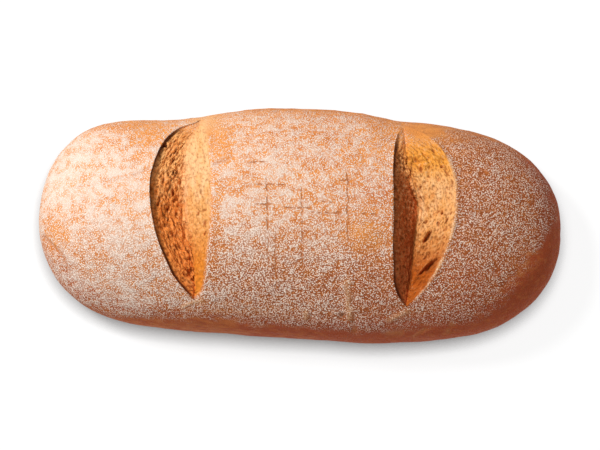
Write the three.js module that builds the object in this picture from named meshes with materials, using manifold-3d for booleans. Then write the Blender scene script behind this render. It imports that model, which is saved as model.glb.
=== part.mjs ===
// A long, round-ended loaf of bread with two scores across it that opened in the oven.
// The baked loaf is one piece: a lofted body with the two open scores cut out of it.
//
// Millimetres, +Z up. X runs along the loaf and Y across it, +Y being its far side. The loaf
// stands on Z = 0, and the origin is under the middle of its bounding box.
import * as THREE from "three";
import { LoftGeometry } from "three/addons/geometries/LoftGeometry.js";
import { mergeVertices } from "three/addons/utils/BufferGeometryUtils.js";
import Module from "manifold-3d";

// Driving dimensions.
const LENGTH = 300;
const HEIGHT = 84;
const BELLY_HEIGHT = 29; // the loaf is widest here, and rolls under below it
const BASE_EDGE = 0.56; // how far in from the belly the flat base starts: 0 at the belly, 1 at the middle
const SECTION_POWER = 2.3; // 2 gives elliptical cross-sections, more gives squarer shoulders

// Mesh fineness.
const STATIONS = 50; // cross-sections along the loaf
const RING_STEPS = 44; // points round each cross-section
const END_ANGLE = THREE.MathUtils.degToRad(2); // the small end caps, as an angle from the tip
const SCORE_STEPS = 16;

// The plan outline on each side of the X axis: a half width, how blunt each end is, and gentle
// swells (positive) and waists (negative) of the side, each with its place and its spread in X.
const FAR_SIDE = {
  width: 59,
  leftPower: 6.7,
  rightPower: 5.5,
  bumps: [
    { height: 8.6, at: 2, spread: 75 },
    { height: -3.7, at: -72, spread: 30 },
    { height: -1.5, at: 54, spread: 14 },
  ],
};
const NEAR_SIDE = {
  width: 62,
  leftPower: 5.5,
  rightPower: 4.75,
  bumps: [{ height: 3.4, at: 40, spread: 90 }],
};
// The crown's rise above the belly, with the dips where the scores let the dough sink.
const CROWN = {
  width: HEIGHT - BELLY_HEIGHT,
  leftPower: 3.6,
  rightPower: 3.2,
  bumps: [
    { height: -2.5, at: -68, spread: 30 },
    { height: -2, at: 70, spread: 30 },
  ],
};

// Each score as three rails of [x, y] points, from its near tip to its far tip: the two lips on the
// crust and the valley between them, which is depth below the crust at the middle of the score.
const SCORES = [
  {
    depth: 18,
    leftLip: [[-59, -50], [-70.5, -33], [-80.5, -13], [-85, 10], [-80.5, 35], [-67, 51], [-60, 56]],
    valley: [[-58, -50], [-60, -35], [-63, -15], [-66, 8], [-65.5, 30], [-61.5, 48], [-59, 56]],
    rightLip: [[-57, -50], [-51.8, -37], [-49.5, -16], [-49.2, 8], [-51, 30], [-54.5, 47], [-58, 56]],
  },
  {
    depth: 22,
    leftLip: [[61, -49], [56, -37], [53, -15], [51.8, 8], [52, 30], [53.5, 46], [57, 56]],
    valley: [[62, -49], [62.5, -36], [64, -16], [64.8, 6], [63, 26], [60, 42], [58, 56]],
    rightLip: [[63, -49], [70.5, -39], [81.5, -20.5], [87.5, 4], [85.5, 25], [75.5, 44.5], [59, 56]],
  },
];
const LEAST_DEPTH = 0.6; // at a score's tips
const CUT_HEADROOM = 12; // how far the cutting solid stands above the crust
const WALL_HOLLOW = 0.12; // how far the score's walls sag below straight, as a share of its depth

// How full the loaf is at x: 1 at the middle, falling to 0 at its two ends.
function fullness(x, side) {
  const power = x < 0 ? side.leftPower : side.rightPower;
  return Math.sqrt(Math.max(0, 1 - Math.abs((2 * x) / LENGTH) ** power));
}

// The half width of a side, or the rise of the crown, at x.
function reach(x, side) {
  const swell = ({ height, at, spread }) => height * Math.exp(-(((x - at) / spread) ** 2));
  const width = side.bumps.reduce((sum, bump) => sum + swell(bump), side.width);
  return width * fullness(x, side);
}

// The height of the crust over the point x, y.
function crustHeight(x, y) {
  const across = Math.min(1, Math.abs(y) / reach(x, y > 0 ? FAR_SIDE : NEAR_SIDE));
  return BELLY_HEIGHT + reach(x, CROWN) * Math.sqrt(1 - across ** SECTION_POWER);
}

// One cross-section: over the crown, down to the belly and under to the flat base.
function bodySection(x) {
  return Array.from({ length: RING_STEPS }, (_, i) => {
    const angle = (2 * Math.PI * i) / RING_STEPS;
    const side = Math.cos(angle) > 0 ? FAR_SIDE : NEAR_SIDE;
    const across = Math.sign(Math.cos(angle)) * Math.abs(Math.cos(angle)) ** (2 / SECTION_POWER);
    const up = Math.sin(angle);
    const inwards = Math.min(1, (-up * fullness(x, side)) / BASE_EDGE);
    const z =
      up > 0
        ? BELLY_HEIGHT + up * reach(x, CROWN)
        : BELLY_HEIGHT * (1 - Math.sin((Math.PI / 2) * inwards));
    return new THREE.Vector3(x, across * reach(x, side), inwards === 1 ? 0 : z);
  });
}

function bodyGeometry() {
  const sections = Array.from({ length: STATIONS + 1 }, (_, i) => {
    const angle = THREE.MathUtils.mapLinear(i, 0, STATIONS, END_ANGLE, Math.PI - END_ANGLE);
    return bodySection((-LENGTH / 2) * Math.cos(angle));
  });
  return new LoftGeometry(sections, { capStart: true, capEnd: true });
}

// A rail's point at t, from 0 at the near tip to 1 at the far tip.
function railPoint(rail, t) {
  const curve = new THREE.SplineCurve(rail.map(([x, y]) => new THREE.Vector2(x, y)));
  return curve.getPoint(t);
}

// The solid that a score takes away. Its sections are V shapes that stand up through the crust.
function scoreGeometry({ depth, leftLip, valley, rightLip }) {
  const sections = Array.from({ length: SCORE_STEPS + 1 }, (_, i) => {
    const t = i / SCORE_STEPS;
    const deep = Math.max(LEAST_DEPTH, depth * Math.sin(Math.PI * t) ** 0.7);
    const onCrust = (rail, lift) => {
      const { x, y } = railPoint(rail, t);
      return new THREE.Vector3(x, y, crustHeight(x, y) + lift);
    };
    const left = onCrust(leftLip, 0);
    const bottom = onCrust(valley, -deep);
    const right = onCrust(rightLip, 0);
    const wall = (lip) => {
      const middle = new THREE.Vector3().lerpVectors(lip, bottom, 0.5);
      middle.z -= WALL_HOLLOW * deep;
      return middle;
    };
    const leftTop = onCrust(leftLip, CUT_HEADROOM);
    const rightTop = onCrust(rightLip, CUT_HEADROOM);
    return [rightTop, right, wall(right), bottom, wall(left), left, leftTop];
  });
  return new LoftGeometry(sections, { capStart: true, capEnd: true });
}

const wasm = await Module();
wasm.setup();

function solidOf(geometry) {
  const surface = new THREE.BufferGeometry()
    .setAttribute("position", geometry.getAttribute("position"))
    .setIndex(geometry.getIndex());
  const merged = mergeVertices(surface, 1e-3);
  return new wasm.Manifold(
    new wasm.Mesh({
      numProp: 3,
      vertProperties: merged.attributes.position.array,
      triVerts: new Uint32Array(merged.index.array),
    }),
  );
}

function geometryOf(solid) {
  const { vertProperties, triVerts } = solid.getMesh();
  return new THREE.BufferGeometry()
    .setAttribute("position", new THREE.BufferAttribute(vertProperties, 3))
    .setIndex(new THREE.BufferAttribute(triVerts, 1));
}

// Moves the geometry so that the origin is under the middle of its bounding box.
function standOnOrigin(geometry) {
  geometry.computeBoundingBox();
  const { min, max } = geometry.boundingBox;
  return geometry.translate(-(min.x + max.x) / 2, -(min.y + max.y) / 2, -min.z);
}

const baked = SCORES.reduce(
  (solid, score) => solid.subtract(solidOf(scoreGeometry(score))),
  solidOf(bodyGeometry()),
);
const loaf = new THREE.Mesh(
  standOnOrigin(geometryOf(baked)),
  new THREE.MeshStandardMaterial({ color: 0xd9a877, roughness: 0.9, metalness: 0 }),
);
loaf.name = "loaf";

const part = new THREE.Group();
part.add(loaf);

export default part;
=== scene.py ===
"""A long, round-ended loaf of bread with two opened scores, dusted with flour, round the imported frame.

Lengths are in millimetres until the mesh is made, and X runs along the loaf, +Y being its far side.
"""
import itertools
import math

import bpy
import numpy as np
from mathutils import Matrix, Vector


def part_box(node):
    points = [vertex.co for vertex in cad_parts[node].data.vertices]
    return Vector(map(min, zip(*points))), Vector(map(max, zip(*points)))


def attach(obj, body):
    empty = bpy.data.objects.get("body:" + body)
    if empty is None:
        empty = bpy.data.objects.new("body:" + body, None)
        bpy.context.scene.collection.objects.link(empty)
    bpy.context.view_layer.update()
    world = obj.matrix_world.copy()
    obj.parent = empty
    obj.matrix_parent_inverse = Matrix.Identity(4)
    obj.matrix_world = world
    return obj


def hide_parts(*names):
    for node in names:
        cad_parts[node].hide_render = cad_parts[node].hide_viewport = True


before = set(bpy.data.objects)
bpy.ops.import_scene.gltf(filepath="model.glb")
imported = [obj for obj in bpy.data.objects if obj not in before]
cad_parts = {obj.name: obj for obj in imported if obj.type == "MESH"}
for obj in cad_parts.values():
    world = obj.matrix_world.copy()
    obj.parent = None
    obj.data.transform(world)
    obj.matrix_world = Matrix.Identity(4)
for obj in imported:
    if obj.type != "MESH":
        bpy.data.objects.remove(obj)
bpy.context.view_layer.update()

MM = 0.001

# ---- The loaf's body, as the CAD solid has it ----

LENGTH = 300.0
HEIGHT = 84.0
BELLY = 29.0  # height of the widest outline
BASE_EDGE = 0.56  # where the flat base starts, from 0 at the belly to 1 at the middle
SECTION_POWER = 2.3  # how square a slice across the loaf is
FAR_ENDS = (6.7, 5.5)  # how square the left and right ends are on the far side, seen from above
NEAR_ENDS = (5.5, 4.75)  # the same on the near side
CROWN_ENDS = (3.6, 3.2)  # the same for the top's line, seen from the side


def bell(x, at, spread):
    """A smooth bump of height 1."""
    return np.exp(-(((x - at) / spread) ** 2))


def ramp(x, low, high):
    """0 below low, 1 above high, and smooth between them. The other way round where low is the larger."""
    t = np.clip((x - low) / (high - low), 0.0, 1.0)
    return t * t * (3 - 2 * t)


def fullness(x, left_power, right_power):
    """1 in the middle of the loaf and 0 at its ends."""
    power = np.where(x < 0, left_power, right_power)
    return np.sqrt(np.maximum(0.0, 1 - np.abs(2 * x / LENGTH) ** power))


def far_reach(x):
    """How far the belly is from the middle line on the far side."""
    swell = 59 + 8.6 * bell(x, 2, 75) - 3.7 * bell(x, -72, 30) - 1.5 * bell(x, 54, 14)
    return swell * fullness(x, *FAR_ENDS)


def near_reach(x):
    """How far the belly is from the middle line on the near side."""
    return (62 + 3.4 * bell(x, 40, 90)) * fullness(x, *NEAR_ENDS)


def crown_rise(x):
    """How far the top's line is above the belly."""
    swell = HEIGHT - BELLY - 2.5 * bell(x, -68, 30) - 2 * bell(x, 70, 30)
    return swell * fullness(x, *CROWN_ENDS)


def reach(x, angle):
    """The reach of the side that the angle is on."""
    return np.where(np.cos(angle) > 0, far_reach(x), near_reach(x))


def across(angle):
    """The share of the side's reach, from 1 at the far side to -1 at the near side."""
    cosine = np.cos(angle)
    return np.sign(cosine) * np.abs(cosine) ** (2 / SECTION_POWER)


def body_points(x, angle):
    """Points on the plain body. The angle is 0 at the far belly and a quarter turn at the crown."""
    up = np.sin(angle)
    side = np.where(np.cos(angle) > 0, fullness(x, *FAR_ENDS), fullness(x, *NEAR_ENDS))
    inwards = np.clip(-up * side / BASE_EDGE, 0, 1)
    z = np.where(up > 0, BELLY + up * crown_rise(x), BELLY * (1 - np.sin(math.pi / 2 * inwards)))
    return np.stack([x, across(angle) * reach(x, angle), z], axis=-1)


# ---- The scores ----

def curve_through(points):
    """A smooth x for each y, through points given as (x, y) in order of y."""
    values, places = np.array(points, float).T
    slopes = np.gradient(values, places)

    def at(y):
        y = np.clip(y, places[0], places[-1])
        k = np.clip(np.searchsorted(places, y) - 1, 0, len(places) - 2)
        width = places[k + 1] - places[k]
        t = (y - places[k]) / width
        start = (1 + 2 * t) * values[k] + t * width * slopes[k]
        end = (3 - 2 * t) * values[k + 1] - (1 - t) * width * slopes[k + 1]
        return (1 - t) ** 2 * start + t * t * end

    return at


NEAR_POWER = 0.6  # how soon a score closes towards its near tip
LEAST_GAP = 4.0  # between the grid's own lines, in the scores
GAP_GROWTH = 0.25  # how much the least gap grows for each mm further out
GAP_FROM = 50  # how far from the scores' middle that growth starts, just before their tips
SCORES_MIDDLE = 3  # a y about half way between the tips


class Score:
    """An opened score: a sharp left lip, a valley and a right lip, each a curve along Y.

    The other settings of its shape are these.
    left_drop, right_drop: the share of the depth that a wall takes right at its lip.
    left_bend: how the left wall bends on its way down, 1 being straight.
    shelf: the share of the right wall's depth that comes just before the valley.
    shoulder: how rounded the right wall is near its lip.
    rim: the height of the right lip's raised rim.
    soft_lip: how wide the change from crumb to crust is at the right lip.
    soft_from: the y beyond which the two walls' colours run into each other.
    The wall-shade setting: how much shade is painted on the left wall, as a darker crumb.
    fade_from, far_fade: the y beyond which crumb turns to crust, and how far it does on the right wall.
    far_power: how soon the score closes towards its far tip.
    """

    def __init__(self, left, valley, right, plain, depth, tips, **shape):
        self.left, self.valley, self.right = map(curve_through, (left, valley, right))
        self.plain = plain  # the X of the three curves on the grid before it is fitted to them
        self.depth = depth
        self.tips = tips
        self.shape = shape

    def grid_curves(self, y):
        """Where the grid's own three lines go: on the curves, but never pinched together."""
        valley = self.valley(y)
        least = LEAST_GAP + GAP_GROWTH * np.maximum(0, np.abs(y - SCORES_MIDDLE) - GAP_FROM)
        left = valley - np.maximum(valley - self.left(y), least)
        right = valley + np.maximum(self.right(y) - valley, least)
        return left, valley, right

    def openness(self, y):
        """1 in the middle of the score, 0 at and beyond its tips."""
        low, high = self.tips
        t = (2 * y - low - high) / (high - low)
        return np.maximum(0, 1 - t * t) ** np.where(t > 0, self.shape["far_power"], NEAR_POWER)


SCORES = [
    Score(
        left=[(-58, -50), (-63.3, -45), (-69.5, -38), (-73.3, -31), (-79, -19), (-83, -5), (-85, 10),
              (-84, 23), (-80.5, 35), (-75.5, 44), (-70, 49), (-63, 52.5), (-59, 55)],
        valley=[(-57.5, -50), (-58.5, -38), (-60, -26), (-63.2, -14), (-65.8, 0), (-66.3, 14),
                (-67.3, 31), (-65, 45), (-58, 55)],
        right=[(-57, -50), (-53.3, -46.5), (-51.5, -41), (-50.2, -29), (-49.4, -18), (-49.3, 10),
               (-50.5, 25), (-52.4, 40), (-56.5, 57)],
        plain=(-90, -66, -44), depth=18.0, tips=(-50.5, 55.5),
        left_drop=0.14, left_bend=0.9, right_drop=0.0, shelf=0.1, shoulder=0.16, rim=0.0,
        soft_lip=3.0, soft_from=-35, baked=0.0, fade_from=44.0, far_fade=0.5, far_power=0.95,
    ),
    Score(
        left=[(61.6, -49.5), (57.2, -44.5), (54.8, -38.5), (53.7, -30), (53, -18), (52.4, 2), (51.9, 17),
              (52, 32), (52.9, 45), (56, 55)],
        valley=[(62, -49), (63.6, -36), (64.3, -24), (64.6, -12), (66, 0), (66, 11), (63.4, 22), (59, 36),
                (57, 55)],
        right=[(62.8, -49.3), (66.6, -45.3), (71.2, -40), (76.2, -32.5), (81.5, -21.5), (85, -10),
               (87.4, 4), (87, 19), (83.8, 31), (78, 42), (69.5, 50), (58, 56)],
        plain=(45, 64, 92), depth=18.0, tips=(-49.5, 56),
        left_drop=0.22, left_bend=0.85, right_drop=0.09, shelf=0.34, shoulder=0.0, rim=0.8,
        soft_lip=0.6, soft_from=8, baked=1.0, fade_from=36.0, far_fade=1.0, far_power=1.4,
    ),
]


def fitted_x(plain, y):
    """The X of each grid point, with the grid's lines moved onto the scores' curves."""
    stops = [-LENGTH / 2]
    places = [np.full_like(y, -LENGTH / 2)]
    for score in SCORES:
        stops += score.plain
        places += score.grid_curves(y)
    stops.append(LENGTH / 2)
    places.append(np.full_like(y, LENGTH / 2))
    x = places[0]
    for k in range(len(stops) - 1):
        share = np.clip((plain - stops[k]) / (stops[k + 1] - stops[k]), 0, 1)
        x = x + share * (places[k + 1] - places[k])
    return x


DROP_SHARE = 0.03  # the share of a wall's width in which it makes its drop
SHELF_FROM = 0.88  # where the shelf's drop starts, from 0 at the right lip to 1 at the valley
OVERHANG = 2.0  # how far the left lip leans over the score
OVERHANG_WIDTH = 0.9
RAISED_LIP = 0.7  # how much the left lip is raised, and how far behind it that goes on
RAISED_REACH = 4.0
RIGHT_RIM_WIDTH = 1.8
ALL_CRUST = 54  # the y from which crust covers the crumb
WALL_SHADE_FADE = (50, 15)  # the y where the shade painted on the left wall starts, and where it is in full
LIP_SHADE_FADE = (45, 51)  # the y where the shade under the left lip starts to fade, and where it is gone
VALLEY_SHADE_FADES = ((12, -8), (-46, -38))  # the y where the valley's painted shade line starts, and where it is full
SOFTENING = 25  # the length over which the line between the walls softens


def wall_depth(share, drop, bend=1.0):
    """A wall's depth, from 0 at its lip to 1 at the valley: a quick drop and then a slope."""
    return drop * (1 - np.exp(-share / DROP_SHARE)) + (1 - drop) * share ** bend


def score_profile(score, x, y):
    """The score at x, y: its depth, its left lip's overhang, its raised lips, and masks of its parts and of
    the shade painted on it.
    """
    shape = score.shape
    left, valley, right = score.left(y), score.valley(y), score.right(y)
    open_here = score.openness(y)
    inside = (x > left) & (x < right) & (open_here > 0.02)
    # painted shade on the left wall: a darker crumb where the shade falls
    wall_shade_here = np.where(inside & (x < valley), shape["baked"], 0.0)

    from_left = np.clip((x - left) / np.maximum(valley - left, 0.2), 0, 1)
    from_right = np.clip((right - x) / np.maximum(right - valley, 0.2), 0, 1)
    left_wall = wall_depth(from_left, shape["left_drop"], shape["left_bend"])
    right_wall = (1 - shape["shelf"]) * wall_depth(from_right, shape["right_drop"])
    right_wall = right_wall + shape["shelf"] * ramp(from_right, SHELF_FROM, 1.0)
    soft = shape["shoulder"]
    right_wall = right_wall * from_right * (1 + soft) / (from_right + soft + 1e-9)
    depth = np.where(inside, np.where(x < valley, left_wall, right_wall), 0)
    raised = RAISED_LIP * np.exp(-np.maximum(0, left - x) / RAISED_REACH) * (x <= left)
    raised = raised + shape["rim"] * bell(x - right, 0.3, RIGHT_RIM_WIDTH)

    to_crust = ramp(y, shape["fade_from"], ALL_CRUST) * np.where(x < valley, 1.0, shape["far_fade"])
    wavy = y + 4 * np.sin(y / 3.1)
    spread = 0.8 + 2.6 * ramp(wavy, shape["soft_from"], shape["soft_from"] + SOFTENING)
    under_lip = np.where(inside, 1 - ramp(x - left, 1.5, 2.2), 0) * ramp(open_here, 0.1, 0.4)
    wall_shade_to = 1 - ramp(x, valley - 0.4 - 6 * ramp(y, 5, 30), valley + 0.2)
    # a line of painted shade along the valley of the right score
    valley_shade_line = np.where(inside, bell(x, valley - 0.7, 1.3), 0.0) * shape["baked"]
    for fade in VALLEY_SHADE_FADES:
        valley_shade_line = valley_shade_line * ramp(y, *fade)
    return {
        "depth": score.depth * open_here * depth,
        "overhang": OVERHANG * open_here * bell(x - left, 1.3, OVERHANG_WIDTH) * inside,
        "raised": raised * open_here ** 0.5,
        "inside": np.where(inside, 1.0, 0.0),
        "crumb": np.where(inside, ramp(right - x, 0.0, shape["soft_lip"]), 0.0) * (1 - to_crust),
        "left_wall": np.where(inside, 1.0, 0.0) * (1 - ramp(x, valley - spread, valley + 0.6 * spread)),
        "under_lip": under_lip * (1 - ramp(y, *LIP_SHADE_FADE)),
        "rim": bell(x, right + 0.2, 0.8) * ramp(open_here, 0.2, 0.7) * (shape["rim"] > 0),
        "baked": wall_shade_here * wall_shade_to * ramp(y, *WALL_SHADE_FADE),
        "valley_shade_line": valley_shade_line,
        "across": np.where(x < valley, x - left, right - x),
    }


# ---- Repeatable noise ----

CELL_MIXERS = np.array([73856093, 19349663, 83492791])  # large odd numbers, which spread a cell's bits
SEED_MIXER = 2654435761
LAST_MIXER = 1274126177


def lattice(cell, seed):
    """A repeatable random number from 0 to 1 for each whole-numbered cell."""
    mixed = (cell * CELL_MIXERS).sum(axis=-1) + seed * SEED_MIXER
    mixed = ((mixed ^ (mixed >> 13)) * LAST_MIXER) & 0xFFFFFFFF
    mixed = mixed ^ (mixed >> 16)
    return (mixed & 0xFFFFFF) / 0x1000000


def noise(points, size, seed):
    """Smooth noise from -1 to 1, with lumps of about this size (one number, or one for each axis)."""
    scaled = points / size
    base = np.floor(scaled).astype(np.int64)
    weight = scaled - base
    weight = weight ** 3 * (weight * (weight * 6 - 15) + 10)
    total = 0.0
    for corner in itertools.product((0, 1), repeat=3):
        share = np.prod(np.where(np.array(corner) == 1, weight, 1 - weight), axis=-1)
        total = total + share * lattice(base + np.array(corner), seed)
    return 2 * total - 1


def fractal(points, size, seed, octaves=3):
    """Noise with finer and fainter noise on it."""
    sizes = [np.asarray(size, float) / 2 ** k for k in range(octaves)]
    layers = [noise(points, finer, seed + k) * 0.5 ** k for k, finer in enumerate(sizes)]
    return sum(layers) / 1.75


def pits(points, size, seed, share):
    """The depth, from 0 to 1, of rounded pits that stand in this share of the cells."""
    scaled = points / np.asarray(size, float)
    base = np.floor(scaled).astype(np.int64)
    deepest = np.zeros(len(points))
    for offset in itertools.product((-1, 0, 1), repeat=3):
        cell = base + np.array(offset)
        centre = cell + np.stack([lattice(cell, seed + k) for k in (1, 2, 3)], axis=-1)
        radius = 0.3 + 0.5 * lattice(cell, seed + 4)
        here = lattice(cell, seed + 5) < share
        away = ((scaled - centre) ** 2).sum(axis=-1) / radius ** 2
        deepest = np.maximum(deepest, np.where(here, np.clip(1 - away, 0, 1), 0))
    return deepest


# ---- The grid ----

STATIONS = 310
TOP_STEPS = 276  # points round the part that shows from above
UNDER_STEPS = 40
TOP_OVERLAP = 0.3  # how far, in radians, the fine part runs past the belly
TIP_ANGLE = math.radians(0.6)
MORE_IN_SCORES = 1.5  # extra stations for each one on the plain crust
MORE_AT_LEFT_LIPS = 1.6
MORE_AT_RIGHT_LIPS = 0.6
FITTING_ROUNDS = 4  # moving X changes Y a little, so the grid is fitted to the scores again


def grid_stations():
    """The plain X of each station, closer together in the scores and most of all at their lips."""
    angle = np.linspace(TIP_ANGLE, math.pi - TIP_ANGLE, 20001)
    x = -LENGTH / 2 * np.cos(angle)
    rise = 0.5 * (crown_rise(x) + near_reach(x))
    step = np.hypot(np.diff(x), np.diff(rise))
    middle = 0.5 * (x[1:] + x[:-1])
    density = np.ones_like(middle)
    for score in SCORES:
        left, _, right = score.plain
        in_score = ramp(middle, left - 3, left) * (1 - ramp(middle, right, right + 3))
        density += MORE_IN_SCORES * in_score
        density += MORE_AT_LEFT_LIPS * bell(middle, left + 0.5, 2.5)
        density += MORE_AT_RIGHT_LIPS * bell(middle, right, 2.5)
    travelled = np.concatenate([[0], np.cumsum(step * density)])
    return np.interp(np.linspace(0, travelled[-1], STATIONS), travelled, x)


def grid_angles():
    """The angle of each point round a station, starting under the middle of the base."""
    top = np.linspace(-TOP_OVERLAP, math.pi + TOP_OVERLAP, TOP_STEPS)
    under = np.linspace(math.pi + TOP_OVERLAP, 2 * math.pi - TOP_OVERLAP, UNDER_STEPS + 2)[1:-1]
    to_middle = UNDER_STEPS // 2
    return np.concatenate([under[to_middle:] - 2 * math.pi, top, under[:to_middle]])


plain, angles = np.meshgrid(grid_stations(), grid_angles(), indexing="ij")
x = plain.copy()
for _ in range(FITTING_ROUNDS):
    y = across(angles) * reach(x, angles)
    x = fitted_x(plain, y)
shape = body_points(x, angles)
y, z = shape[..., 1], shape[..., 2]


def grid_normals(points):
    """Outward normals of a grid of points, from each point's neighbours."""
    along = np.gradient(points, axis=0)
    ringed = np.concatenate([points[:, -1:], points, points[:, :1]], axis=1)
    around = (ringed[:, 2:] - ringed[:, :-2]) / 2
    made = np.cross(around, along)
    made /= np.maximum(np.linalg.norm(made, axis=-1, keepdims=True), 1e-9)
    return -made if made[points.shape[0] // 2, points.shape[1] // 2, 2] < 0 else made


# ---- Relief ----

MASKS = ("inside", "crumb", "left_wall", "under_lip", "rim", "baked", "valley_shade_line")
GRAIN_STEP = 100  # keeps the grain of the two scores apart
LUMP_SIZE, LUMP_HEIGHT = 42, 0.9  # the crust's unevenness, at three sizes
DENT_SIZE, DENT_HEIGHT = 13, 0.38
GRAIN_SIZE, GRAIN_HEIGHT = 3.4, 0.12
RESTING = (0.5, 5)  # the z up to which the base stays flat, and from which relief is in full

normals = grid_normals(shape)
flat_points = shape.reshape(-1, 3)
masks = {name: np.zeros_like(x) for name in MASKS}
grain = shape.copy()  # where the crumb's grain is read: across the wall, along it, and down
sunk = shape.copy()  # the body with its scores
top = np.where(np.sin(angles) > 0, 1.0, 0.0)
down = np.stack([np.zeros_like(x), 0.4 * normals[..., 1], np.abs(normals[..., 2]) + 1e-6], axis=-1)
down /= np.linalg.norm(down, axis=-1, keepdims=True)
hollow = np.zeros_like(x)  # how deep in a score, from 0 to 1
for number, score in enumerate(SCORES):
    parts = score_profile(score, x, y)
    sunk -= down * (top * (parts["depth"] - parts["raised"]))[..., None]
    sunk[..., 0] -= top * parts["overhang"]
    for name in masks:
        masks[name] = np.maximum(masks[name], top * parts[name])
    hollow = np.maximum(hollow, top * parts["depth"] / score.depth)
    here = (parts["inside"] * top) > 0.5
    grain[here, 0] = parts["across"][here] + GRAIN_STEP * number
    grain[here, 2] = parts["depth"][here] * 0.5

inside = masks["inside"]
lumps = fractal(flat_points, LUMP_SIZE, 11).reshape(x.shape)
dents = fractal(flat_points, DENT_SIZE, 12).reshape(x.shape)
grains = noise(flat_points, GRAIN_SIZE, 13).reshape(x.shape)
resting = ramp(z, *RESTING)
relief = (1 - inside) * (LUMP_HEIGHT * lumps + DENT_HEIGHT * dents + GRAIN_HEIGHT * grains)

BUBBLES = [  # open bubbles in the crumb: x, y, half width, half length, lean, depth
    (65, 31.6, 3.9, 4.8, 0.0, 2.4),
    (62, 31.6, 0.8, 3.4, 0.0, 1.8),
    (67.4, 29.8, 1.2, 2.6, -0.1, 2.8),
    (74, 40.2, 1.1, 0.9, 0.0, 2.2),
    (79.1, 30.6, 1.4, 1.0, 0.0, 2.8),
    (81.6, 26.8, 0.8, 2.4, -0.5, 1.9),
    (83.1, 25.2, 0.7, 0.8, 0.0, 1.6),
    (72, 25, 0.8, 0.9, 0.0, 1.6),
    (67, 18.5, 0.9, 1.8, 0.4, 1.7),
    (85, 18.8, 0.8, 1.2, 0.0, 1.6),
    (79.9, 3.2, 1.0, 1.3, 0.3, 2.4),
    (77.9, 4.3, 0.7, 1.1, 0.2, 1.5),
    (81.9, 2.1, 0.8, 1.2, 0.5, 1.6),
    (83.1, -0.8, 1.0, 1.8, 0.45, 2.4),
    (77.9, -2.1, 1.0, 0.8, 0.0, 1.6),
    (78.2, -3.7, 0.9, 1.0, 0.0, 2.1),
    (85.1, -5.5, 0.8, 0.9, 0.0, 1.4),
    (72.4, -10.8, 1.5, 4.1, 0.5, 3.8),
    (74.4, -27.6, 2.2, 5.4, 1.0, 3.4),
    (66.7, -9.9, 1.1, 1.5, 0.0, 1.8),
    (70.3, -2.2, 0.8, 1.2, 0.3, 1.4),
    (-57.4, -2.1, 0.9, 2.2, 0.0, 2.4),
    (-53.9, -0.8, 1.1, 1.7, 0.3, 1.9),
    (-53.5, -8.7, 1.0, 1.8, 0.0, 2.4),
    (-52.9, -14.4, 1.0, 1.3, 0.2, 2.2),
    (-57.9, -11.5, 0.8, 1.0, 0.0, 1.4),
    (-61.5, -16.1, 1.0, 1.2, 0.0, 1.6),
    (-64.3, -6.6, 0.8, 1.3, 0.2, 1.6),
    (-56.3, 9.3, 0.7, 1.4, 0.0, 1.3),
    (-60.9, -37.1, 1.6, 2.6, 0.1, 2.0),
    (-72.6, 10.7, 1.0, 2.7, 0.05, 3.0),
    (-77.7, 37.8, 1.1, 1.5, 0.3, 2.5),
    (-80, 2, 0.9, 1.3, 0.0, 1.9),
    (-74.2, 0.8, 0.9, 1.9, 0.1, 1.9),
    (-72.9, 23.5, 0.8, 1.7, 0.0, 1.8),
]
RIM_RADIUS = 1.25  # of a bubble's raised rim, from 1 at the bubble's edge
RIM_WIDTH = 0.2
RIM_HEIGHT = 0.45  # for each mm of the bubble's depth


def bubble_shapes(places):
    """The bubbles at these points: how deep they are, how shaded inside, and how high their rims stand."""
    depth, shade, rims = np.zeros((3, len(places)))
    for at_x, at_y, wide, long, lean, deep in BUBBLES:
        off_y = places[:, 1] - at_y
        off_x = places[:, 0] - at_x - lean * off_y
        away = np.hypot(off_x / wide, off_y / long)
        bowl = np.clip(1 - away ** 2, 0, 1) ** 0.6
        depth = np.maximum(depth, deep * bowl)
        shade = np.maximum(shade, bowl * np.clip(deep / wide - 0.7, 0.15, 1))
        rims = np.maximum(rims, RIM_HEIGHT * deep * bell(away, RIM_RADIUS, RIM_WIDTH))
    return depth, shade, rims


def on_grid(crumb_values):
    """Values at the crumb's points as a grid that is 0 elsewhere."""
    whole = np.zeros(x.size)
    whole[in_crumb] = crumb_values
    return whole.reshape(x.shape)


in_crumb = inside.reshape(-1) > 0.5
crumb_points = grain.reshape(-1, 3)[in_crumb]
crumb_places = flat_points[in_crumb]
on_left_wall = masks["left_wall"].reshape(-1)[in_crumb]
from_edge = crumb_points[:, 0] % GRAIN_STEP
near_far_end = 1 - 0.6 * ramp(crumb_places[:, 1], 34, 50)  # the crumb is smoother there
strength = np.where(crumb_places[:, 0] > 0, 1.3, 0.8) + on_left_wall * 0.9 * ramp(from_edge, 1, 8)
strength = strength * near_far_end * (1 - 0.7 * masks["baked"].reshape(-1)[in_crumb])
slits = pits(crumb_points, (1.5, 3.0, 7.0), 31, 0.6)
small_bubbles = 0.9 * pits(crumb_points, (4.5, 7.5, 12.0), 32, 0.08) * near_far_end
placed_bubbles, shaded, rims = bubble_shapes(crumb_places)
ridges = fractal(crumb_points, (1.8, 3.8, 7.0), 34, 2)
swells = fractal(crumb_points, (8, 14, 14), 33, 2)
edge_share = np.minimum(1, hollow * 6)
crumb_relief = on_grid(0.6 * swells + strength * (0.8 * ridges - slits) + rims) * edge_share
bubble_depth = on_grid(np.maximum(small_bubbles, placed_bubbles)) * edge_share
# painted shade in the crumb's pits and bubbles, darker in deep narrow ones, and along the valley
pore = np.maximum(on_grid(np.maximum(0.5 * slits * strength, shaded)), masks["valley_shade_line"])
relief = relief + crumb_relief


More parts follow.
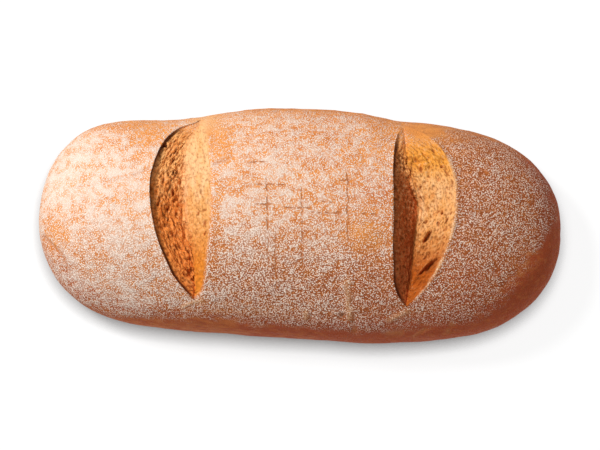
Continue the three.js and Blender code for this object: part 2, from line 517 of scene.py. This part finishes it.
def stroke(points, width):
    """1 along the middle of a line drawn through (x, y) points on the top of the loaf, 0 away from it."""
    nearest = np.full(x.shape, np.inf)
    for (start_x, start_y), (end_x, end_y) in zip(points, points[1:]):
        run_x, run_y = end_x - start_x, end_y - start_y
        share = ((x - start_x) * run_x + (y - start_y) * run_y) / (run_x ** 2 + run_y ** 2)
        share = np.clip(share, 0, 1)
        nearest = np.minimum(nearest, np.hypot(x - start_x - share * run_x, y - start_y - share * run_y))
    return bell(nearest, 0, width) * top


# Each crease has its points, its width, its height (a groove's is below 0) and how much darker it is
# than the crust (below 0 where it is paler); one groove's darkness is a painted shadow.
CREASES = [
    ([(-64.4, -53.4), (-58.1, -50.8), (-53.4, -50.2)], 0.9, 0.5, -0.6),
    ([(-146.4, -13.9), (-140.9, -20.1), (-135.6, -25.2), (-129.5, -36.4)], 1.1, -0.8, 0.45),
    ([(28, -37.9), (28.8, -48.2), (29.9, -55.8)], 1.2, 1.2, -0.75),
    ([(62.5, -51.5), (57, -54), (52, -56.5)], 1.3, 0.5, -0.45),
    # a groove right of the ridge, painted dark as the ridge's shadow
    ([(30.4, -40), (31, -47.6)], 0.8, -1.0, 0.8),
    ([(25.4, -55.3), (26.4, -55.3)], 1.1, -1.9, 1.0),
    ([(31.8, -55.5), (33.1, -61.8)], 0.8, -0.8, 0.8),
    ([(5.3, -54.3), (5.3, -57)], 1.0, 0.8, -0.7),
    ([(7, -56.5), (7.1, -57)], 0.8, -0.8, 0.8),
    ([(88.5, -55.6), (87, -59), (85.2, -61)], 0.7, -0.6, 0.9),
    ([(73.5, -59.3), (67.2, -63.5)], 0.8, -0.6, 0.6),
    ([(52, -62.5), (60, -62)], 1.2, -0.5, 0.7),
    ([(-49.4, 25.2), (-39.9, 29.9)], 0.8, -0.6, 0.5),
    ([(-94.2, 17.9), (-85.8, 22.5)], 0.8, -0.35, 0.3),
    ([(-128.2, 10.9), (-112.1, 13.3), (-98, 16)], 0.9, -0.2, 0.12),
    ([(-47, -49.5), (-43.5, -48.7)], 2.2, 0.4, 0.0),
]
# darker creases, one of them a painted shadow, and paler ridges
crust_dark = np.zeros_like(x)
for points, width, rise, darker in CREASES:
    line = stroke(points, width) * (1 - inside)
    relief = relief + rise * line
    crust_dark = crust_dark + darker * line
paler = np.clip(-crust_dark, 0, 1)
crust_dark = np.clip(crust_dark, 0, 1)
surface = sunk + grid_normals(sunk) * (relief * resting)[..., None] - down * bubble_depth[..., None]

# ---- What the crust looks like where ----

THIN_PATCHES = [  # where the flour is thin: x, y, spread in x, spread in y, how much is missing
    (-45.5, 38, 6, 10, 0.6),
    (38, -12, 11, 9, 0.6),
    (45, -40, 12, 16, 0.3),
    (-86, 44, 11, 9, 0.6),
    (-105, 51, 24, 6, 0.6),
    (88, 47, 14, 6, 0.4),
    (93, 22, 4, 10, 0.6),
    (-47, -18, 2.6, 26, 0.5),
    (0, 66, 60, 4, 0.7),
    (45, 52, 8, 12, 0.5),
    (60, -56, 18, 6, 0.5),
    (-55.5, 52, 6, 14, 1.0),
    (69, 54, 15, 9, 1.0),
    (-138, -15, 7, 10, 0.45),
    (104.2, 28.2, 2.2, 1.8, 0.9),
    (114.5, 15, 1.4, 1.4, 0.8),
    (128.6, 13.4, 3.5, 3.0, 0.6),
]
GOLDEN_PATCHES = [  # where the crust has baked golden and not brown: x, y, spread in x, spread in y
    (-56.5, 57, 8, 14),
    (70, 53, 19, 14),
    (38, -12, 13, 11),
    (-138, -15, 8, 11),
    (-86, 47, 12, 10),
    (-46, 35, 6, 12),
]


def patch(at_x, at_y, wide, long):
    """A soft oval patch on the crust."""
    return bell(x, at_x, wide) * bell(y, at_y, long)


def flour_cover():
    """How thick the flour lies: it ends on the sides and thins towards the right and the near side."""
    edge = 51 - 5 * ramp(y, -20, 30) - 24 * ramp(-x, 60, 140) + 9 * ramp(x, 95, 130) * ramp(-y, -10, 20)
    cover = 0.6 * ramp(z + 5 * dents + 3 * grains, edge - 9, edge + 9)
    cover = cover + 0.4 * ramp(z + 6 * lumps, edge - 2, edge + 20)
    thickness = 0.95 - 0.27 * ramp(x, -110, 0) - 0.27 * ramp(x, 30, 90) + 0.14 * patch(-22, 14, 24, 30)
    thickness = thickness - 0.09 * ramp(-y, 8, 45) * ramp(-x, 0, 60)
    thickness = thickness - 0.1 * ramp(-y, 0, 45) * ramp(x, -20, 20)
    for *place, missing in THIN_PATCHES:
        cover = cover * (1 - missing * np.minimum(1, 1.3 * patch(*place)))
    # the extra flour on the bump by the left score's near tip is partly a painted highlight
    cover = cover * thickness + 0.5 * patch(-45.4, -48.9, 4.5, 3)
    return np.clip(cover, 0, 1.2) * (1 - masks["crumb"])


def browning():
    """How brown the crust is: most at the right and near sides, and least at the foot and the patches."""
    band = (1 - ramp(z, 50, 62)) * np.maximum(ramp(-y, 0, 30), ramp(x, 105, 138))
    amount = 0.1 + 0.45 * ramp(x, -80, 140) + 0.25 * ramp(-y, -10, 55) + 0.45 * band + 0.2 * lumps
    amount = amount + 0.15 * ramp(x, 120, 145)
    amount = np.clip(amount - 0.3 * (1 - ramp(z, 2, 16)), 0, 1)
    for place in GOLDEN_PATCHES:
        amount = amount * (1 - 0.95 * patch(*place) * high_up)
    return amount


high_up = ramp(z, 30, 50)
flour = flour_cover()
brown = browning()
speckled = ramp(-y, -12, 44) * (0.45 + 0.55 * ramp(x, -110, -20))  # where dark crust shows in the flour
speckled = np.maximum(speckled, ramp(x, 55, 95))
pale_crust = np.maximum(ramp(y, 40, 52) * bell(x, -56.5, 8) * high_up, paler)

# ---- The mesh ----


def make_mesh(name, rings, layers):
    """A closed piece from rings of points, with a tip at each end and a value a point for each layer."""
    count, steps, _ = rings.shape
    tips = [rings[0].mean(axis=0), rings[-1].mean(axis=0)]
    tips[0][0] = -LENGTH / 2 if tips[0][0] < 0 else tips[0][0]
    points = np.concatenate([rings.reshape(-1, 3), tips]) * MM
    station, step = np.meshgrid(np.arange(count - 1), np.arange(steps), indexing="ij")
    following = (step + 1) % steps
    quads = np.stack([
        station * steps + step,
        station * steps + following,
        (station + 1) * steps + following,
        (station + 1) * steps + step,
    ], axis=-1).reshape(-1, 4)
    around = np.arange(steps)
    after = (around + 1) % steps
    first_tip = np.full(steps, count * steps)
    last_ring = (count - 1) * steps
    start_fan = np.stack([first_tip, after, around], axis=-1)
    end_fan = np.stack([first_tip + 1, last_ring + around, last_ring + after], axis=-1)
    mesh = bpy.data.meshes.new(name)
    mesh.from_pydata(points.tolist(), [], quads.tolist() + start_fan.tolist() + end_fan.tolist())
    mesh.shade_smooth()
    for layer, values in layers.items():
        flat = np.concatenate([values.reshape(-1), [values[0].mean(), values[-1].mean()]])
        mesh.attributes.new(layer, "FLOAT", "POINT").data.foreach_set("value", flat.astype(np.float32))
    mesh.validate()
    return bpy.data.objects.new(name, mesh)


# The piece goes where the CAD solid is.
low, high = (np.array(corner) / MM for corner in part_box("loaf"))
middle = (low + high) / 2
plain_low = shape.reshape(-1, 3).min(axis=0)
plain_high = shape.reshape(-1, 3).max(axis=0)
shift = np.array([*(middle - (plain_low + plain_high) / 2)[:2], low[2] - plain_low[2]])
layers = {name: masks[name] for name in ("crumb", "left_wall", "under_lip", "rim", "baked")}
layers.update(speckled=speckled, pore=pore, flour=flour, brown=brown)
layers.update(crust_dark=crust_dark, pale_crust=pale_crust)
loaf = make_mesh("loaf_crust", surface + shift, layers)
grain_tips = np.zeros((2, 3))
grain_layer = loaf.data.attributes.new("grain", "FLOAT_VECTOR", "POINT")
grain_values = np.concatenate([grain.reshape(-1, 3), grain_tips]) * MM
grain_layer.data.foreach_set("vector", grain_values.astype(np.float32).reshape(-1))
bpy.context.collection.objects.link(loaf)

# ---- Materials (lengths are in metres from here on) ----


def add_node(tree, kind, inputs=None, **settings):
    """A node with these settings. An input is a value, or the socket that feeds it."""
    made = tree.nodes.new(kind)
    for key, value in settings.items():
        setattr(made, key, value)
    for key, value in (inputs or {}).items():
        if isinstance(value, bpy.types.NodeSocket):
            tree.links.new(value, made.inputs[key])
        else:
            made.inputs[key].default_value = value
    return made


class Shader:
    """Short calls for the nodes of one material."""

    def __init__(self, name):
        self.material = bpy.data.materials.new(name)
        self.material.use_nodes = True
        self.tree = self.material.node_tree
        self.tree.nodes.clear()
        self.coordinates = add_node(self.tree, "ShaderNodeTexCoord").outputs["Object"]

    def math(self, operation, first, second=0.0, clamp=False):
        made = add_node(self.tree, "ShaderNodeMath", {0: first, 1: second},
                        operation=operation, use_clamp=clamp)
        return made.outputs[0]

    def plus(self, first, second):
        return self.math("ADD", first, second)

    def times(self, first, second):
        return self.math("MULTIPLY", first, second)

    def attribute(self, name):
        """A number that the mesh holds at its points."""
        return add_node(self.tree, "ShaderNodeAttribute", attribute_name=name).outputs["Fac"]

    def noise(self, size, detail=2.0, rough=0.5, stretch=(1, 1, 1), where=None):
        """Noise with features of about this size, in metres."""
        placed = add_node(self.tree, "ShaderNodeMapping", {
            "Vector": self.coordinates if where is None else where,
            "Scale": tuple(1 / s for s in stretch)})
        made = add_node(self.tree, "ShaderNodeTexNoise", {
            "Vector": placed.outputs[0], "Scale": 1 / size, "Detail": detail, "Roughness": rough})
        return made.outputs["Fac"]

    def grains(self, size):
        """Rounded grains of about this size: 1 at a grain's middle and 0 between grains."""
        made = add_node(self.tree, "ShaderNodeTexVoronoi", {"Vector": self.coordinates, "Scale": 1 / size})
        return self.ranged(made.outputs["Distance"], 0.1, 0.7, 1.0, 0.0)

    def place(self, name):
        """A vector that the mesh holds at its points."""
        return add_node(self.tree, "ShaderNodeAttribute", attribute_name=name).outputs["Vector"]

    def ranged(self, value, low, high, to_low=0.0, to_high=1.0):
        """The value carried smoothly from one range to another, and held at its ends."""
        made = add_node(self.tree, "ShaderNodeMapRange", {
            "Value": value, "From Min": low, "From Max": high, "To Min": to_low, "To Max": to_high},
            interpolation_type="SMOOTHSTEP")
        return made.outputs["Result"]

    def mix(self, share, first, second):
        """A colour that goes from the first to the second as the share goes from 0 to 1."""
        made = self.tree.nodes.new("ShaderNodeMix")
        made.data_type = "RGBA"
        for socket, value in ((made.inputs[0], share), (made.inputs[6], first), (made.inputs[7], second)):
            if isinstance(value, bpy.types.NodeSocket):
                self.tree.links.new(value, socket)
            elif socket.type == "RGBA":
                socket.default_value = (*value, 1.0)
            else:
                socket.default_value = value
        return made.outputs[2]


GOLDEN = (0.79, 0.30, 0.075)
BROWN = (0.40, 0.073, 0.023)
DARK_BROWN = (0.25, 0.066, 0.024)
PALE_CRUST = (0.92, 0.56, 0.30)
CREASE = (0.48, 0.16, 0.055)
FLOUR = (0.90, 0.76, 0.66)
THIN_FLOUR = (0.83, 0.66, 0.54)
FIRST_PALE = (0.91, 0.54, 0.265)
FIRST_CRUMB = (0.82, 0.385, 0.125)
FIRST_DEEP = (0.76, 0.25, 0.03)
SECOND_TOP = (0.85, 0.34, 0.05)
SECOND_PALE = (0.95, 0.54, 0.25)
SECOND_CRUMB = (0.84, 0.37, 0.11)
SECOND_DEEP = (0.47, 0.10, 0.011)
# the left walls' crumb, more saturated: painted bounce light in their shade
BOUNCE_WALL_PALE = (0.98, 0.45, 0.15)
BOUNCE_WALL_CRUMB = (0.86, 0.27, 0.056)
# crumb darkened with painted shade, for the right score's left wall
WALL_SHADE_CRUMB = (0.52, 0.127, 0.038)
WALL_SHADE_STRIPE = (0.80, 0.28, 0.085)
# painted shade for the crumb's pits, bubbles and dips, and along the valley
PIT_SHADE = (0.29, 0.075, 0.017)
LIP_SHADE = (0.13, 0.032, 0.012)
RIM = (0.92, 0.52, 0.24)

CRACKS_ALONG_Y = [  # x, lowest y and highest y, in mm
    (-18.4, -29, 17), (1, -38.5, 11.5), (26.8, -19, 22.5), (-14.2, -44, -15.5),
]
CRACKS_ALONG_X = [  # y, lowest x and highest x, in mm
    (1.3, -25, -16), (0, -9, 6.6), (3.8, 10, 20), (-1.9, 6.6, 26), (-1.9, 30, 43.4),
    (13, -25, -7.6), (26, -30, -20), (17, 21.4, 27.2), (4.5, 89, 110), (-10, 95, 106),
]
MOTTLE_SIZE = 0.005  # the sizes of the crust's patterns
PATCH_SIZE = 0.022
UNEVEN_SIZE = 0.003
CLOUD_SIZE = 0.0009
SPECK_SIZE = 0.0008
STREAK_SIZE = 0.004  # the sizes of the crumb's patterns
STRIPE_SIZE = 0.0011
FIBRE_SIZE = 0.0011
FILM_MOST = 0.95  # the most that the film of flour hides
SPECKS_MOST = 0.72
CRACKS_MOST = 0.95
PIT_SHADE_MOST = 0.68
LIP_SHADE_MOST = 0.92
BUMP_STRENGTH = 0.9
BUMP_DISTANCE = 0.0013
CRUMB_BUMP = 2.2  # how much higher the crumb's bumps are than the crust's
SPECULAR = 0.03
BARE_ROUGHNESS = 0.6
FLOURED_ROUGHNESS = 0.95
CRACK_WIDTH = 0.0006
CRACK_END = 0.002  # the length over which a crack begins or ends
CRACK_WOBBLE = 0.0007
LEAN = 0.055  # how far the long cracks lean, in mm for each mm


def crack_mask(shader, object_x, object_y):
    """The thin cracks in the crust, as a mask."""
    wobble = shader.ranged(shader.noise(0.006, detail=3.0), 0.2, 0.8, -CRACK_WOBBLE, CRACK_WOBBLE)
    breaks = shader.ranged(shader.noise(0.0032), 0.36, 0.54)
    leaning = shader.plus(object_x, shader.times(object_y, LEAN))
    runs = [(object_y, leaning, crack) for crack in CRACKS_ALONG_Y]
    runs += [(object_x, object_y, crack) for crack in CRACKS_ALONG_X]
    mask = 0.0
    for along, across_it, (at, low_end, high_end) in runs:
        off = shader.plus(shader.math("SUBTRACT", across_it, at * MM), wobble)
        line = shader.ranged(shader.math("ABSOLUTE", off), 0.3 * CRACK_WIDTH, CRACK_WIDTH, 1.0, 0.0)
        start = shader.ranged(along, low_end * MM - CRACK_END, low_end * MM + CRACK_END)
        end = shader.ranged(along, high_end * MM - CRACK_END, high_end * MM + CRACK_END, 1.0, 0.0)
        crack = shader.times(shader.times(line, breaks), shader.times(start, end))
        mask = shader.math("MAXIMUM", mask, crack)
    return mask


def crust_colour(shader, fine, mottle, dust, cracks):
    """Baked crust under a film of flour, white specks on the film and dark gaps in it, and cracks."""
    uneven = shader.noise(UNEVEN_SIZE, detail=3.0, stretch=(2.2, 1.0, 1.0))
    uneven = shader.ranged(uneven, 0.3, 0.7, -0.16, 0.16)
    browner = shader.math("ADD", shader.attribute("brown"), uneven, clamp=True)
    base = shader.mix(browner, GOLDEN, BROWN)
    base = shader.mix(shader.ranged(mottle, 0.45, 0.8, 0.0, 0.3), base, DARK_BROWN)

    gaps = shader.plus(
        shader.ranged(fine, 0.36, 0.62, -0.5, 0.4), shader.ranged(mottle, 0.35, 0.65, -0.18, 0.12))
    film_share = shader.ranged(shader.plus(dust, gaps), -0.08, 0.9, 0.0, FILM_MOST)
    film_share = shader.times(film_share, shader.ranged(dust, 0.0, 0.15))
    crust = shader.mix(film_share, base, THIN_FLOUR)

    speck_share = shader.ranged(shader.plus(fine, shader.times(dust, 0.2)), 0.56, 0.78)
    speck_share = shader.times(speck_share, shader.ranged(dust, 0.0, 0.25, 0.0, SPECKS_MOST))
    crust = shader.mix(speck_share, crust, FLOUR)
    holes = shader.times(
        shader.ranged(fine, 0.33, 0.48, 0.85, 0.0), shader.ranged(dust, 0.0, 0.2, 0.25, 1.0))
    crust = shader.mix(shader.times(holes, shader.attribute("speckled")), crust, DARK_BROWN)

    pale_share = shader.times(shader.attribute("pale_crust"), shader.ranged(fine, 0.35, 0.6, 0.45, 0.9))
    crust = shader.mix(pale_share, crust, PALE_CRUST)
    crust = shader.mix(shader.times(cracks, CRACKS_MOST), crust, CREASE)
    return shader.mix(shader.attribute("crust_dark"), crust, CREASE)


def crumb_colour(shader, fibre, fibre_shade_and_bump, grain_place, object_x, object_y):
    """Open crumb: pale on the lit walls, more saturated on the shaded left walls as painted bounce light,
    deeper towards the near tip, with painted shade on the right score's left wall, in the pits and in the
    fibres' dips, and painted highlights on the fibres.
    """
    streak = shader.noise(STREAK_SIZE, detail=2.0, stretch=(1.0, 3.0, 3.0), where=grain_place)
    stripe = shader.noise(STRIPE_SIZE, detail=2.0, stretch=(1.0, 10.0, 10.0), where=grain_place)
    deeper = shader.plus(streak, shader.ranged(object_y, 0.04, -0.02, -0.15, 0.2))
    deeper = shader.ranged(deeper, 0.3, 0.7)
    near_tip = shader.ranged(object_y, -0.002, -0.034)

    first = shader.mix(near_tip, shader.mix(deeper, FIRST_PALE, FIRST_CRUMB), FIRST_DEEP)
    first = shader.mix(shader.ranged(object_y, 0.02, 0.045, 0.0, 0.35), first, FIRST_CRUMB)
    second = shader.mix(deeper, SECOND_PALE, SECOND_CRUMB)
    second = shader.mix(shader.ranged(object_y, 0.014, 0.032), second, SECOND_TOP)
    second = shader.mix(near_tip, second, SECOND_DEEP)
    crumb = shader.mix(shader.ranged(object_x, -0.01, 0.01), first, second)
    # the shaded left walls get a more saturated crumb, as painted bounce light
    left_wall = shader.mix(deeper, BOUNCE_WALL_PALE, BOUNCE_WALL_CRUMB)
    crumb = shader.mix(shader.attribute("left_wall"), crumb, left_wall)
    # painted shade on the right score's left wall, as a darker, striped crumb
    baked = shader.mix(shader.ranged(stripe, 0.45, 0.75, 0.0, 0.5), WALL_SHADE_CRUMB, WALL_SHADE_STRIPE)
    crumb = shader.mix(shader.times(shader.attribute("baked"), 0.9), crumb, baked)

    # painted highlights on the fibres' ridges, and below them painted shade in the dips between fibres
    fibre_highlight = shader.times(
        shader.ranged(fibre, 0.54, 0.72, 0.0, 0.55), shader.ranged(near_tip, 0.0, 1.0, 1.0, 0.3))
    crumb = shader.mix(fibre_highlight, crumb, FIRST_PALE)
    crumb = shader.mix(shader.times(shader.ranged(fibre, 0.54, 0.3), fibre_shade_and_bump), crumb, PIT_SHADE)
    # painted shade in the pits, bubbles and valley
    pore_share = shader.ranged(shader.attribute("pore"), 0.25, 0.8, 0.0, PIT_SHADE_MOST)
    return shader.mix(pore_share, crumb, PIT_SHADE)


def baked_crust():
    """The loaf's one material. Vertex values tell it where the crumb, flour and browning are."""
    shader = Shader("baked_crust")
    apart = add_node(shader.tree, "ShaderNodeSeparateXYZ", {"Vector": shader.coordinates})
    object_x, object_y = apart.outputs["X"], apart.outputs["Y"]
    grain_place = shader.place("grain")
    in_crumb_here = shader.attribute("crumb")

    mottle = shader.noise(MOTTLE_SIZE, detail=3.0)
    cloudy = shader.noise(CLOUD_SIZE, detail=2.0, rough=0.7)
    fine = shader.plus(shader.times(cloudy, 0.65), shader.times(shader.grains(SPECK_SIZE), 0.35))
    patchy = shader.plus(shader.noise(PATCH_SIZE, detail=2.0), mottle)
    patchy = shader.ranged(patchy, 0.7, 1.3, -0.22, 0.15)
    flour_here = shader.attribute("flour")
    dust = shader.plus(flour_here, shader.times(patchy, flour_here))
    cracks = crack_mask(shader, object_x, object_y)
    crust = crust_colour(shader, fine, mottle, dust, cracks)

    fibre = shader.noise(FIBRE_SIZE, detail=2.0, stretch=(1.0, 1.7, 1.7), where=grain_place)
    # how strong the painted shade in the crumb's dips is, and how high its bumps stand
    fibre_shade_and_bump = shader.plus(
        shader.ranged(object_x, -0.01, 0.01, 0.52, 0.72), shader.times(shader.attribute("left_wall"), 0.3))
    crumb = crumb_colour(shader, fibre, fibre_shade_and_bump, grain_place, object_x, object_y)

    colour = shader.mix(in_crumb_here, crust, crumb)
    rim_share = shader.times(shader.attribute("rim"), shader.ranged(mottle, 0.35, 0.6, 0.1, 0.7))
    colour = shader.mix(rim_share, colour, RIM)
    colour = shader.mix(shader.times(shader.attribute("under_lip"), LIP_SHADE_MOST), colour, LIP_SHADE)

    crust_height = shader.plus(shader.times(fine, 0.6), shader.times(mottle, 0.4))
    crust_height = shader.math("SUBTRACT", crust_height, shader.times(cracks, 0.3))
    crumb_height = shader.times(fibre, shader.times(fibre_shade_and_bump, CRUMB_BUMP))
    height = add_node(shader.tree, "ShaderNodeMix", {0: in_crumb_here, 2: crust_height, 3: crumb_height})
    bump = add_node(shader.tree, "ShaderNodeBump", {
        "Height": height.outputs[0], "Strength": BUMP_STRENGTH, "Distance": BUMP_DISTANCE})
    surface_shader = add_node(shader.tree, "ShaderNodeBsdfPrincipled", {
        "Base Color": colour,
        "Roughness": shader.ranged(dust, 0, 0.5, BARE_ROUGHNESS, FLOURED_ROUGHNESS),
        "Specular IOR Level": SPECULAR, "Normal": bump.outputs[0]})
    add_node(shader.tree, "ShaderNodeOutputMaterial", {"Surface": surface_shader.outputs[0]})
    return shader.material


loaf.data.materials.append(baked_crust())

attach(loaf, "root")
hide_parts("loaf")

# ---- Floor, light and camera ----

FLOOR_SIZE = 6.0
FLOOR_GREY = 0.12
FLOOR_GLOW = 0.9
CONTACT_SHADOW_GLOW = 0.1  # the floor's glow where the loaf is close above it: a painted contact shadow
CONTACT_SHADOW_REACH = 0.014
FILL_LIGHT = 0.35
BACKDROP = 0.97
KEY_SIZE = 0.5
KEY_ENERGY = 57.5
KEY_DISTANCE = 2.4
KEY_DIRECTION = (-0.48, 0.25, 0.81)
LENS = 209.6
SENSOR_WIDTH = 36
CAMERA_DISTANCE = 2.0
CAMERA_ELEVATION = math.radians(81)
CAMERA_TURN = math.radians(2.2)
AIM_HEIGHT = 0.04  # of the point that the camera and the light are turned to
AIM_NEARER = 0.0026  # how much nearer that point is than the loaf's middle


def floor_material():
    """A near white that glows less where something is close above it: a painted contact shadow."""
    paint = bpy.data.materials.new("floor_paint")
    paint.use_nodes = True
    tree = paint.node_tree
    tree.nodes.clear()
    # painted contact shadow: less glow where the loaf is near
    contact_shadow = add_node(tree, "ShaderNodeAmbientOcclusion", {"Distance": CONTACT_SHADOW_REACH})
    contact_shadow.samples = 8
    glow = add_node(tree, "ShaderNodeMapRange", {
        "Value": contact_shadow.outputs["AO"], "From Min": 0.35, "From Max": 0.9,
        "To Min": CONTACT_SHADOW_GLOW, "To Max": FLOOR_GLOW})
    surface_shader = add_node(tree, "ShaderNodeBsdfPrincipled", {
        "Base Color": (FLOOR_GREY, FLOOR_GREY, FLOOR_GREY, 1), "Roughness": 0.9,
        "Emission Color": (1, 1, 1, 1), "Emission Strength": glow.outputs[0]})
    add_node(tree, "ShaderNodeOutputMaterial", {"Surface": surface_shader.outputs[0]})
    return paint


def add_floor(level):
    """A flat square at this height."""
    half = FLOOR_SIZE / 2
    corners = [(-half, -half, level), (half, -half, level), (half, half, level), (-half, half, level)]
    mesh = bpy.data.meshes.new("floor")
    mesh.from_pydata(corners, [], [(0, 1, 2, 3)])
    mesh.materials.append(floor_material())
    floor = bpy.data.objects.new("floor", mesh)
    bpy.context.collection.objects.link(floor)


def white_studio():
    """A world that fills in the shadows softly, and that the camera sees as a near white backdrop."""
    world = bpy.data.worlds.new("studio")
    world.use_nodes = True
    background = world.node_tree.nodes["Background"]
    background.inputs["Color"].default_value = (1, 1, 1, 1)
    ray = add_node(world.node_tree, "ShaderNodeLightPath")
    strength_here = add_node(world.node_tree, "ShaderNodeMapRange", {
        "Value": ray.outputs["Is Camera Ray"], "To Min": FILL_LIGHT, "To Max": BACKDROP})
    world.node_tree.links.new(strength_here.outputs[0], background.inputs["Strength"])
    return world


def add_key_light(aim):
    """One soft light, high on the left and a little behind the loaf."""
    key = bpy.data.lights.new("key", "AREA")
    key.shape = "DISK"
    key.size = KEY_SIZE
    key.energy = KEY_ENERGY
    light = bpy.data.objects.new("key", key)
    towards = Vector(KEY_DIRECTION).normalized()
    light.location = aim + towards * KEY_DISTANCE
    light.rotation_euler = towards.to_track_quat("Z", "Y").to_euler()
    bpy.context.collection.objects.link(light)


def add_camera(aim):
    """A camera almost straight above, a little to the near side and turned a little to the right."""
    data = bpy.data.cameras.new("camera")
    data.lens = LENS
    data.sensor_width = SENSOR_WIDTH
    data.clip_end = 20
    camera = bpy.data.objects.new("camera", data)
    flat = math.cos(CAMERA_ELEVATION)
    away = Vector((
        math.sin(CAMERA_TURN) * flat, -math.cos(CAMERA_TURN) * flat, math.sin(CAMERA_ELEVATION)))
    camera.location = aim + away * CAMERA_DISTANCE
    camera.rotation_euler = away.to_track_quat("Z", "Y").to_euler()
    bpy.context.collection.objects.link(camera)
    return camera


add_floor(low[2] * MM)
aim = Vector(((low + high) / 2 * MM).tolist())
aim.z = AIM_HEIGHT
aim.y -= AIM_NEARER
add_key_light(aim)
bpy.context.scene.view_settings.view_transform = "Standard"
bpy.context.scene.world = white_studio()
bpy.context.scene.camera = add_camera(aim)
